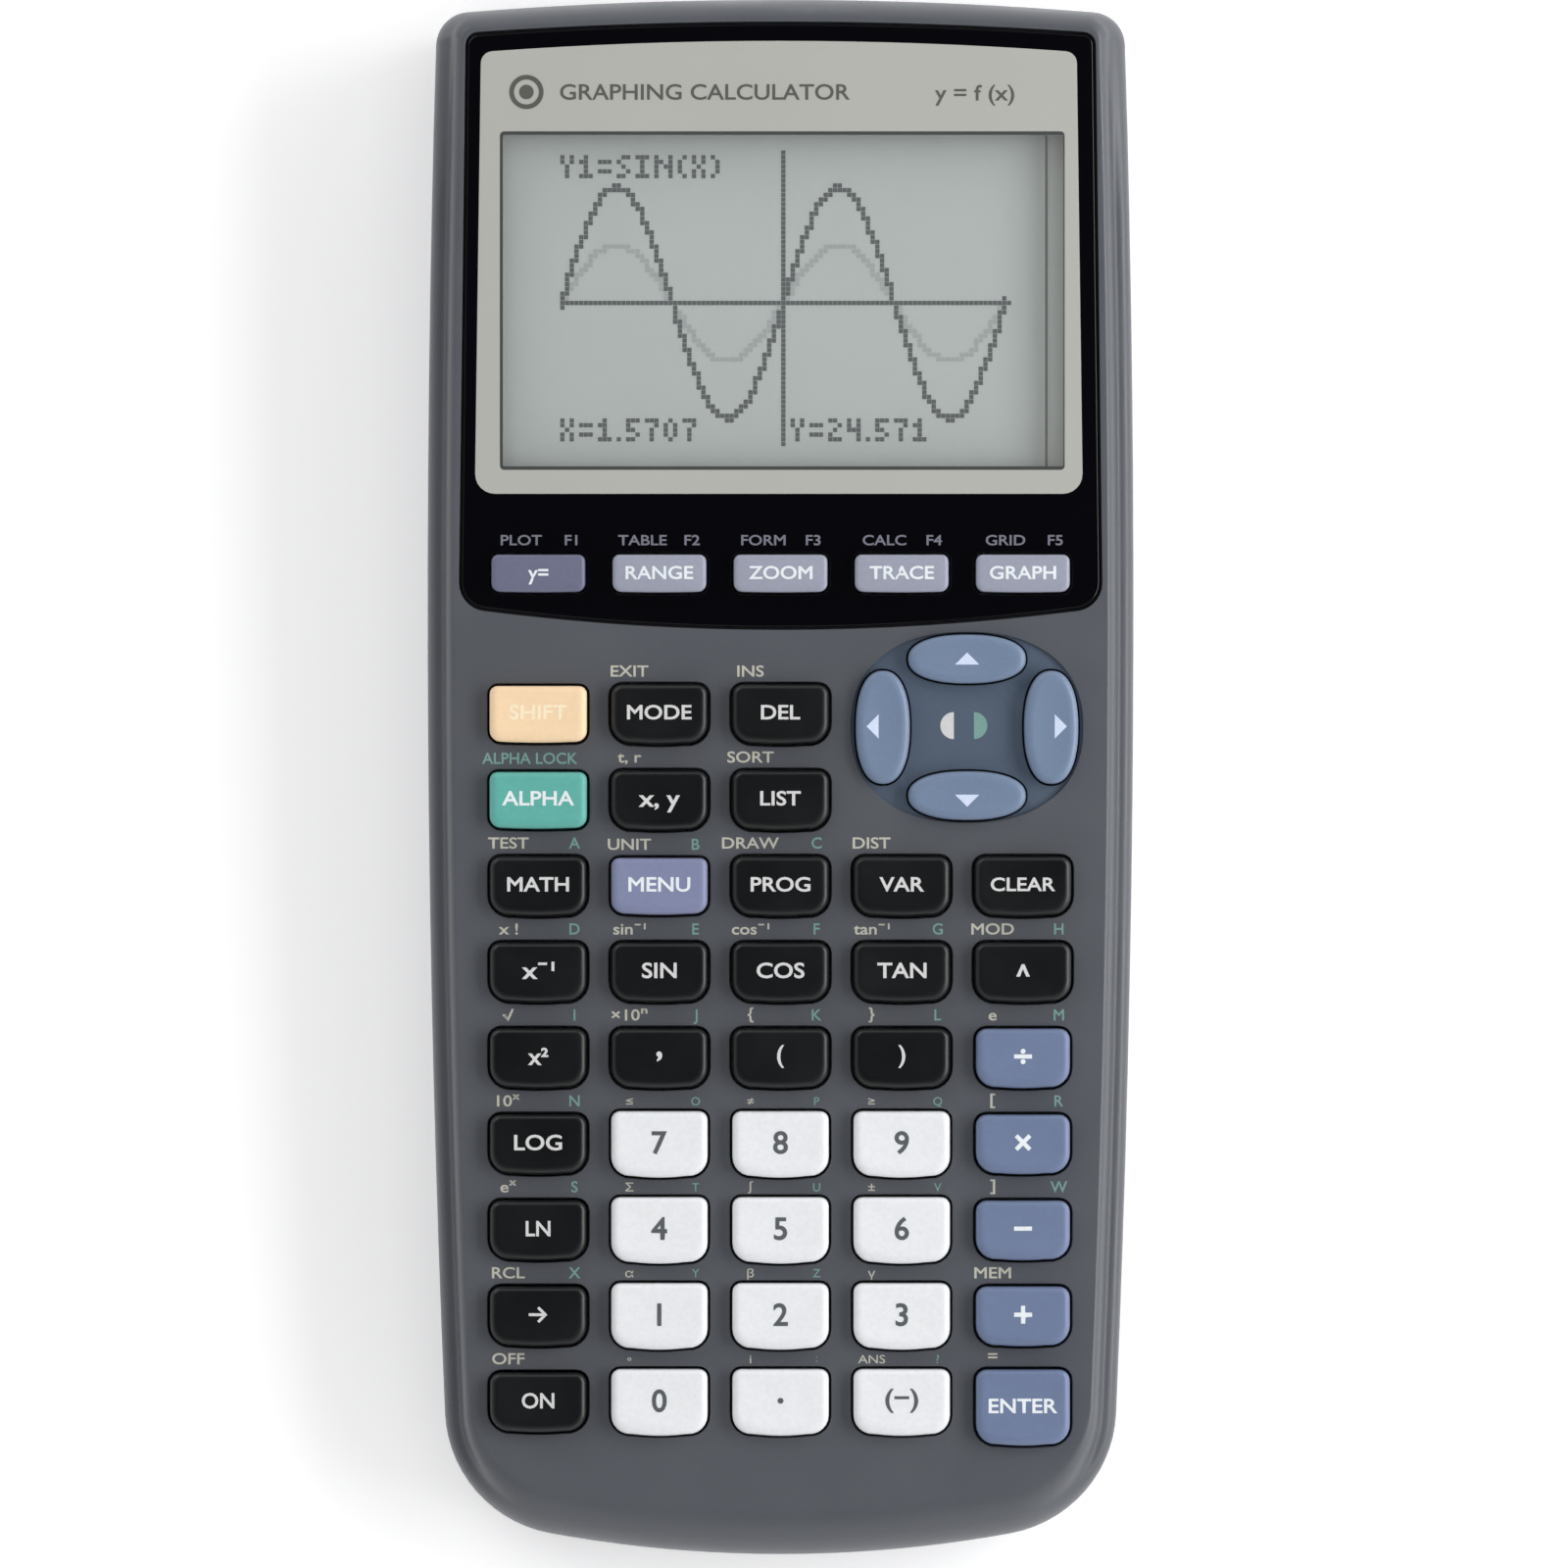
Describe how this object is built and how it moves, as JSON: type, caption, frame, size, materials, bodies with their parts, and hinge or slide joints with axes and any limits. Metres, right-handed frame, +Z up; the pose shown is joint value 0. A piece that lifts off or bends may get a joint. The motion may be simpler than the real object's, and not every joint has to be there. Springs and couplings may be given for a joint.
{
  "type": "graphing calculator",
  "caption": "Handheld graphing calculator: wedge-shaped moulded case, display behind a glossy window, pressable keys, cursor pad and hinged battery cover.",
  "frame": {"origin": "centre of the overall box on the plane that the four foot pads rest on", "axes": "+X to the user's right, +Y along the length towards the display end, +Z up out of the keypad"},
  "size_m": [0.0826, 0.182, 0.0235],
  "materials": {
    "case_plastic": "fine moulded texture, satin",
    "window_plastic": "gloss",
    "display_glass": "satin",
    "board_laminate": "satin",
    "membrane_rubber": "matte",
    "cell_jacket": "satin",
    "cell_steel": "satin",
    "jack_plastic": "matte",
    "dark_key": "satin",
    "white_key": "satin",
    "yellow_key": "satin",
    "green_key": "satin",
    "lavender_key": "satin",
    "blue_key": "satin",
    "arrow_key": "satin",
    "function_key": "satin"
  },
  "bodies": {
    "case": {"front_case": "case_plastic", "rear_case": "case_plastic", "display_window": "window_plastic", "lcd_panel": "display_glass", "circuit_board": "board_laminate", "keypad_membrane": "membrane_rubber", "battery_cells": "cell_jacket", "backup_cell": "cell_steel", "link_jack": "jack_plastic"},
    "battery_cover": {"battery_cover": "case_plastic"},
    "key_equation": {"key_equation": "function_key"},
    "key_window": {"key_window": "function_key"},
    "key_zoom": {"key_zoom": "function_key"},
    "key_trace": {"key_trace": "function_key"},
    "key_graph": {"key_graph": "function_key"},
    "key_shift": {"key_shift": "yellow_key"},
    "key_mode": {"key_mode": "dark_key"},
    "key_delete": {"key_delete": "dark_key"},
    "key_alpha": {"key_alpha": "green_key"},
    "key_variable": {"key_variable": "dark_key"},
    "key_list": {"key_list": "dark_key"},
    "key_math": {"key_math": "dark_key"},
    "key_apps": {"key_apps": "lavender_key"},
    "key_program": {"key_program": "dark_key"},
    "key_vars": {"key_vars": "dark_key"},
    "key_clear": {"key_clear": "dark_key"},
    "key_inverse": {"key_inverse": "dark_key"},
    "key_sin": {"key_sin": "dark_key"},
    "key_cos": {"key_cos": "dark_key"},
    "key_tan": {"key_tan": "dark_key"},
    "key_power": {"key_power": "dark_key"},
    "key_square": {"key_square": "dark_key"},
    "key_comma": {"key_comma": "dark_key"},
    "key_open_bracket": {"key_open_bracket": "dark_key"},
    "key_close_bracket": {"key_close_bracket": "dark_key"},
    "key_divide": {"key_divide": "blue_key"},
    "key_log": {"key_log": "dark_key"},
    "key_7": {"key_7": "white_key"},
    "key_8": {"key_8": "white_key"},
    "key_9": {"key_9": "white_key"},
    "key_multiply": {"key_multiply": "blue_key"},
    "key_ln": {"key_ln": "dark_key"},
    "key_4": {"key_4": "white_key"},
    "key_5": {"key_5": "white_key"},
    "key_6": {"key_6": "white_key"},
    "key_minus": {"key_minus": "blue_key"},
    "key_store": {"key_store": "dark_key"},
    "key_1": {"key_1": "white_key"},
    "key_2": {"key_2": "white_key"},
    "key_3": {"key_3": "white_key"},
    "key_plus": {"key_plus": "blue_key"},
    "key_on": {"key_on": "dark_key"},
    "key_0": {"key_0": "white_key"},
    "key_point": {"key_point": "white_key"},
    "key_negative": {"key_negative": "white_key"},
    "key_enter": {"key_enter": "blue_key"},
    "key_up": {"key_up": "arrow_key"},
    "key_down": {"key_down": "arrow_key"},
    "key_left": {"key_left": "arrow_key"},
    "key_right": {"key_right": "arrow_key"}
  },
  "joints": [
    {"name": "battery_cover_hinge", "type": "hinge", "parent": "case", "child": "battery_cover", "pos_m": [0, 0.03241, 0.0008], "axis": [-1, 0, 0], "range_deg": [0, 60]},
    {"name": "key_equation_press", "type": "slide", "parent": "case", "child": "key_equation", "axis": [0, 0.0329, -0.9995], "range_m": [0, 0.001], "stiffness_N_per_m": 500, "springref_m": -0.001},
    {"name": "key_window_press", "type": "slide", "parent": "case", "child": "key_window", "axis": [0, 0.0329, -0.9995], "range_m": [0, 0.001], "stiffness_N_per_m": 500, "springref_m": -0.001},
    {"name": "key_zoom_press", "type": "slide", "parent": "case", "child": "key_zoom", "axis": [0, 0.0329, -0.9995], "range_m": [0, 0.001], "stiffness_N_per_m": 500, "springref_m": -0.001},
    {"name": "key_trace_press", "type": "slide", "parent": "case", "child": "key_trace", "axis": [0, 0.0329, -0.9995], "range_m": [0, 0.001], "stiffness_N_per_m": 500, "springref_m": -0.001},
    {"name": "key_graph_press", "type": "slide", "parent": "case", "child": "key_graph", "axis": [0, 0.0329, -0.9995], "range_m": [0, 0.001], "stiffness_N_per_m": 500, "springref_m": -0.001},
    {"name": "key_shift_press", "type": "slide", "parent": "case", "child": "key_shift", "axis": [0, 0.0329, -0.9995], "range_m": [0, 0.001], "stiffness_N_per_m": 500, "springref_m": -0.001},
    {"name": "key_mode_press", "type": "slide", "parent": "case", "child": "key_mode", "axis": [0, 0.0329, -0.9995], "range_m": [0, 0.001], "stiffness_N_per_m": 500, "springref_m": -0.001},
    {"name": "key_delete_press", "type": "slide", "parent": "case", "child": "key_delete", "axis": [0, 0.0329, -0.9995], "range_m": [0, 0.001], "stiffness_N_per_m": 500, "springref_m": -0.001},
    {"name": "key_alpha_press", "type": "slide", "parent": "case", "child": "key_alpha", "axis": [0, 0.0329, -0.9995], "range_m": [0, 0.001], "stiffness_N_per_m": 500, "springref_m": -0.001},
    {"name": "key_variable_press", "type": "slide", "parent": "case", "child": "key_variable", "axis": [0, 0.0329, -0.9995], "range_m": [0, 0.001], "stiffness_N_per_m": 500, "springref_m": -0.001},
    {"name": "key_list_press", "type": "slide", "parent": "case", "child": "key_list", "axis": [0, 0.0329, -0.9995], "range_m": [0, 0.001], "stiffness_N_per_m": 500, "springref_m": -0.001},
    {"name": "key_math_press", "type": "slide", "parent": "case", "child": "key_math", "axis": [0, 0.0329, -0.9995], "range_m": [0, 0.001], "stiffness_N_per_m": 500, "springref_m": -0.001},
    {"name": "key_apps_press", "type": "slide", "parent": "case", "child": "key_apps", "axis": [0, 0.0329, -0.9995], "range_m": [0, 0.001], "stiffness_N_per_m": 500, "springref_m": -0.001},
    {"name": "key_program_press", "type": "slide", "parent": "case", "child": "key_program", "axis": [0, 0.0329, -0.9995], "range_m": [0, 0.001], "stiffness_N_per_m": 500, "springref_m": -0.001},
    {"name": "key_vars_press", "type": "slide", "parent": "case", "child": "key_vars", "axis": [0, 0.0329, -0.9995], "range_m": [0, 0.001], "stiffness_N_per_m": 500, "springref_m": -0.001},
    {"name": "key_clear_press", "type": "slide", "parent": "case", "child": "key_clear", "axis": [0, 0.0329, -0.9995], "range_m": [0, 0.001], "stiffness_N_per_m": 500, "springref_m": -0.001},
    {"name": "key_inverse_press", "type": "slide", "parent": "case", "child": "key_inverse", "axis": [0, 0.0329, -0.9995], "range_m": [0, 0.001], "stiffness_N_per_m": 500, "springref_m": -0.001},
    {"name": "key_sin_press", "type": "slide", "parent": "case", "child": "key_sin", "axis": [0, 0.0329, -0.9995], "range_m": [0, 0.001], "stiffness_N_per_m": 500, "springref_m": -0.001},
    {"name": "key_cos_press", "type": "slide", "parent": "case", "child": "key_cos", "axis": [0, 0.0329, -0.9995], "range_m": [0, 0.001], "stiffness_N_per_m": 500, "springref_m": -0.001},
    {"name": "key_tan_press", "type": "slide", "parent": "case", "child": "key_tan", "axis": [0, 0.0329, -0.9995], "range_m": [0, 0.001], "stiffness_N_per_m": 500, "springref_m": -0.001},
    {"name": "key_power_press", "type": "slide", "parent": "case", "child": "key_power", "axis": [0, 0.0329, -0.9995], "range_m": [0, 0.001], "stiffness_N_per_m": 500, "springref_m": -0.001},
    {"name": "key_square_press", "type": "slide", "parent": "case", "child": "key_square", "axis": [0, 0.0329, -0.9995], "range_m": [0, 0.001], "stiffness_N_per_m": 500, "springref_m": -0.001},
    {"name": "key_comma_press", "type": "slide", "parent": "case", "child": "key_comma", "axis": [0, 0.0329, -0.9995], "range_m": [0, 0.001], "stiffness_N_per_m": 500, "springref_m": -0.001},
    {"name": "key_open_bracket_press", "type": "slide", "parent": "case", "child": "key_open_bracket", "axis": [0, 0.0329, -0.9995], "range_m": [0, 0.001], "stiffness_N_per_m": 500, "springref_m": -0.001},
    {"name": "key_close_bracket_press", "type": "slide", "parent": "case", "child": "key_close_bracket", "axis": [0, 0.0329, -0.9995], "range_m": [0, 0.001], "stiffness_N_per_m": 500, "springref_m": -0.001},
    {"name": "key_divide_press", "type": "slide", "parent": "case", "child": "key_divide", "axis": [0, 0.0329, -0.9995], "range_m": [0, 0.001], "stiffness_N_per_m": 500, "springref_m": -0.001},
    {"name": "key_log_press", "type": "slide", "parent": "case", "child": "key_log", "axis": [0, 0.0329, -0.9995], "range_m": [0, 0.001], "stiffness_N_per_m": 500, "springref_m": -0.001},
    {"name": "key_7_press", "type": "slide", "parent": "case", "child": "key_7", "axis": [0, 0.0329, -0.9995], "range_m": [0, 0.001], "stiffness_N_per_m": 500, "springref_m": -0.001},
    {"name": "key_8_press", "type": "slide", "parent": "case", "child": "key_8", "axis": [0, 0.0329, -0.9995], "range_m": [0, 0.001], "stiffness_N_per_m": 500, "springref_m": -0.001},
    {"name": "key_9_press", "type": "slide", "parent": "case", "child": "key_9", "axis": [0, 0.0329, -0.9995], "range_m": [0, 0.001], "stiffness_N_per_m": 500, "springref_m": -0.001},
    {"name": "key_multiply_press", "type": "slide", "parent": "case", "child": "key_multiply", "axis": [0, 0.0329, -0.9995], "range_m": [0, 0.001], "stiffness_N_per_m": 500, "springref_m": -0.001},
    {"name": "key_ln_press", "type": "slide", "parent": "case", "child": "key_ln", "axis": [0, 0.0329, -0.9995], "range_m": [0, 0.001], "stiffness_N_per_m": 500, "springref_m": -0.001},
    {"name": "key_4_press", "type": "slide", "parent": "case", "child": "key_4", "axis": [0, 0.0329, -0.9995], "range_m": [0, 0.001], "stiffness_N_per_m": 500, "springref_m": -0.001},
    {"name": "key_5_press", "type": "slide", "parent": "case", "child": "key_5", "axis": [0, 0.0329, -0.9995], "range_m": [0, 0.001], "stiffness_N_per_m": 500, "springref_m": -0.001},
    {"name": "key_6_press", "type": "slide", "parent": "case", "child": "key_6", "axis": [0, 0.0329, -0.9995], "range_m": [0, 0.001], "stiffness_N_per_m": 500, "springref_m": -0.001},
    {"name": "key_minus_press", "type": "slide", "parent": "case", "child": "key_minus", "axis": [0, 0.0329, -0.9995], "range_m": [0, 0.001], "stiffness_N_per_m": 500, "springref_m": -0.001},
    {"name": "key_store_press", "type": "slide", "parent": "case", "child": "key_store", "axis": [0, 0.0329, -0.9995], "range_m": [0, 0.001], "stiffness_N_per_m": 500, "springref_m": -0.001},
    {"name": "key_1_press", "type": "slide", "parent": "case", "child": "key_1", "axis": [0, 0.0329, -0.9995], "range_m": [0, 0.001], "stiffness_N_per_m": 500, "springref_m": -0.001},
    {"name": "key_2_press", "type": "slide", "parent": "case", "child": "key_2", "axis": [0, 0.0329, -0.9995], "range_m": [0, 0.001], "stiffness_N_per_m": 500, "springref_m": -0.001},
    {"name": "key_3_press", "type": "slide", "parent": "case", "child": "key_3", "axis": [0, 0.0329, -0.9995], "range_m": [0, 0.001], "stiffness_N_per_m": 500, "springref_m": -0.001},
    {"name": "key_plus_press", "type": "slide", "parent": "case", "child": "key_plus", "axis": [0, 0.0329, -0.9995], "range_m": [0, 0.001], "stiffness_N_per_m": 500, "springref_m": -0.001},
    {"name": "key_on_press", "type": "slide", "parent": "case", "child": "key_on", "axis": [0, 0.0329, -0.9995], "range_m": [0, 0.001], "stiffness_N_per_m": 500, "springref_m": -0.001},
    {"name": "key_0_press", "type": "slide", "parent": "case", "child": "key_0", "axis": [0, 0.0329, -0.9995], "range_m": [0, 0.001], "stiffness_N_per_m": 500, "springref_m": -0.001},
    {"name": "key_point_press", "type": "slide", "parent": "case", "child": "key_point", "axis": [0, 0.0329, -0.9995], "range_m": [0, 0.001], "stiffness_N_per_m": 500, "springref_m": -0.001},
    {"name": "key_negative_press", "type": "slide", "parent": "case", "child": "key_negative", "axis": [0, 0.0329, -0.9995], "range_m": [0, 0.001], "stiffness_N_per_m": 500, "springref_m": -0.001},
    {"name": "key_enter_press", "type": "slide", "parent": "case", "child": "key_enter", "axis": [0, 0.0329, -0.9995], "range_m": [0, 0.001], "stiffness_N_per_m": 500, "springref_m": -0.001},
    {"name": "key_up_press", "type": "slide", "parent": "case", "child": "key_up", "axis": [0, 0.0329, -0.9995], "range_m": [0, 0.001], "stiffness_N_per_m": 500, "springref_m": -0.001},
    {"name": "key_down_press", "type": "slide", "parent": "case", "child": "key_down", "axis": [0, 0.0329, -0.9995], "range_m": [0, 0.001], "stiffness_N_per_m": 500, "springref_m": -0.001},
    {"name": "key_left_press", "type": "slide", "parent": "case", "child": "key_left", "axis": [0, 0.0329, -0.9995], "range_m": [0, 0.001], "stiffness_N_per_m": 500, "springref_m": -0.001},
    {"name": "key_right_press", "type": "slide", "parent": "case", "child": "key_right", "axis": [0, 0.0329, -0.9995], "range_m": [0, 0.001], "stiffness_N_per_m": 500, "springref_m": -0.001}
  ]
}
